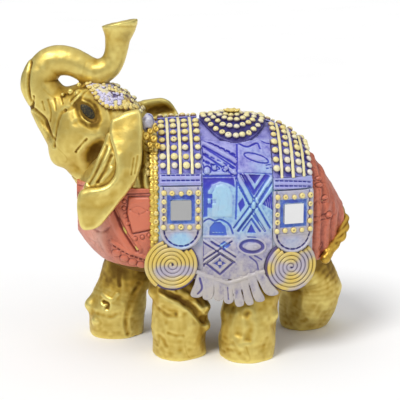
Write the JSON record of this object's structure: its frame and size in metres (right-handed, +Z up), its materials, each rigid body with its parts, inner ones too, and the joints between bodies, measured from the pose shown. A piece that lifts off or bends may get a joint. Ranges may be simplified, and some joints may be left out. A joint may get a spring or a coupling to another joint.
{
  "type": "elephant figurine",
  "caption": "Resin elephant figurine with raised trunk, wearing a beaded blue saddle cloth and a coral robe; stands on its own four feet as a shelf ornament.",
  "frame": {"origin": "on the floor, under the middle of the whole figure's box", "axes": "+Z up, the elephant faces -X, its left side is -Y"},
  "size_m": [0.1697, 0.0792, 0.1716],
  "materials": {
    "gold_resin": "antiqued gold paint on cast resin",
    "coral_robe": "coral paint with dark wash on cast resin",
    "blue_blanket": "ultramarine and lavender dry-brushed paint on cast resin",
    "gold_bead": "cream gold paint on moulded beads",
    "gold_cord": "gold dry-brushed coil",
    "mirror_tile": "small glued mirror tile",
    "eye_paint": "dark gloss paint"
  },
  "bodies": {
    "root": {"back_rosette": "blue_blanket", "front_robe": "coral_robe", "head": "gold_resin", "headdress": "blue_blanket", "headdress_beads": "gold_bead", "left_centre_panel": "blue_blanket", "left_ear": "gold_resin", "left_eye": "eye_paint", "left_fringe": "blue_blanket", "left_front_lattice_bars": "gold_bead", "left_front_lattice_beads": "gold_bead", "left_front_lattice_panel": "blue_blanket", "left_front_leg": "gold_resin", "left_front_medallion": "gold_cord", "left_front_mirror_tile": "mirror_tile", "left_front_stitched_band": "blue_blanket", "left_front_tab": "blue_blanket", "left_front_tab_beads": "gold_bead", "left_rear_lattice_bars": "gold_bead", "left_rear_lattice_beads": "gold_bead", "left_rear_lattice_panel": "blue_blanket", "left_rear_leg": "gold_resin", "left_rear_medallion": "gold_cord", "left_rear_mirror_tile": "mirror_tile", "left_rear_stitched_band": "blue_blanket", "left_rear_tab": "blue_blanket", "left_rear_tab_beads": "gold_bead", "lower_jaw": "gold_resin", "neck_beads": "gold_bead", "rear_robe": "coral_robe", "right_centre_panel": "blue_blanket", "right_ear": "gold_resin", "right_eye": "eye_paint", "right_fringe": "blue_blanket", "right_front_lattice_bars": "gold_bead", "right_front_lattice_beads": "gold_bead", "right_front_lattice_panel": "blue_blanket", "right_front_leg": "gold_resin", "right_front_medallion": "gold_cord", "right_front_mirror_tile": "mirror_tile", "right_front_stitched_band": "blue_blanket", "right_front_tab": "blue_blanket", "right_front_tab_beads": "gold_bead", "right_rear_lattice_bars": "gold_bead", "right_rear_lattice_beads": "gold_bead", "right_rear_lattice_panel": "blue_blanket", "right_rear_leg": "gold_resin", "right_rear_medallion": "gold_cord", "right_rear_mirror_tile": "mirror_tile", "right_rear_stitched_band": "blue_blanket", "right_rear_tab": "blue_blanket", "right_rear_tab_beads": "gold_bead", "rosette_beads": "gold_bead", "saddle_cloth": "blue_blanket", "saddle_edge_beads": "gold_bead", "tail": "gold_resin", "torso": "gold_resin", "trunk": "gold_resin"}
  },
  "joints": []
}
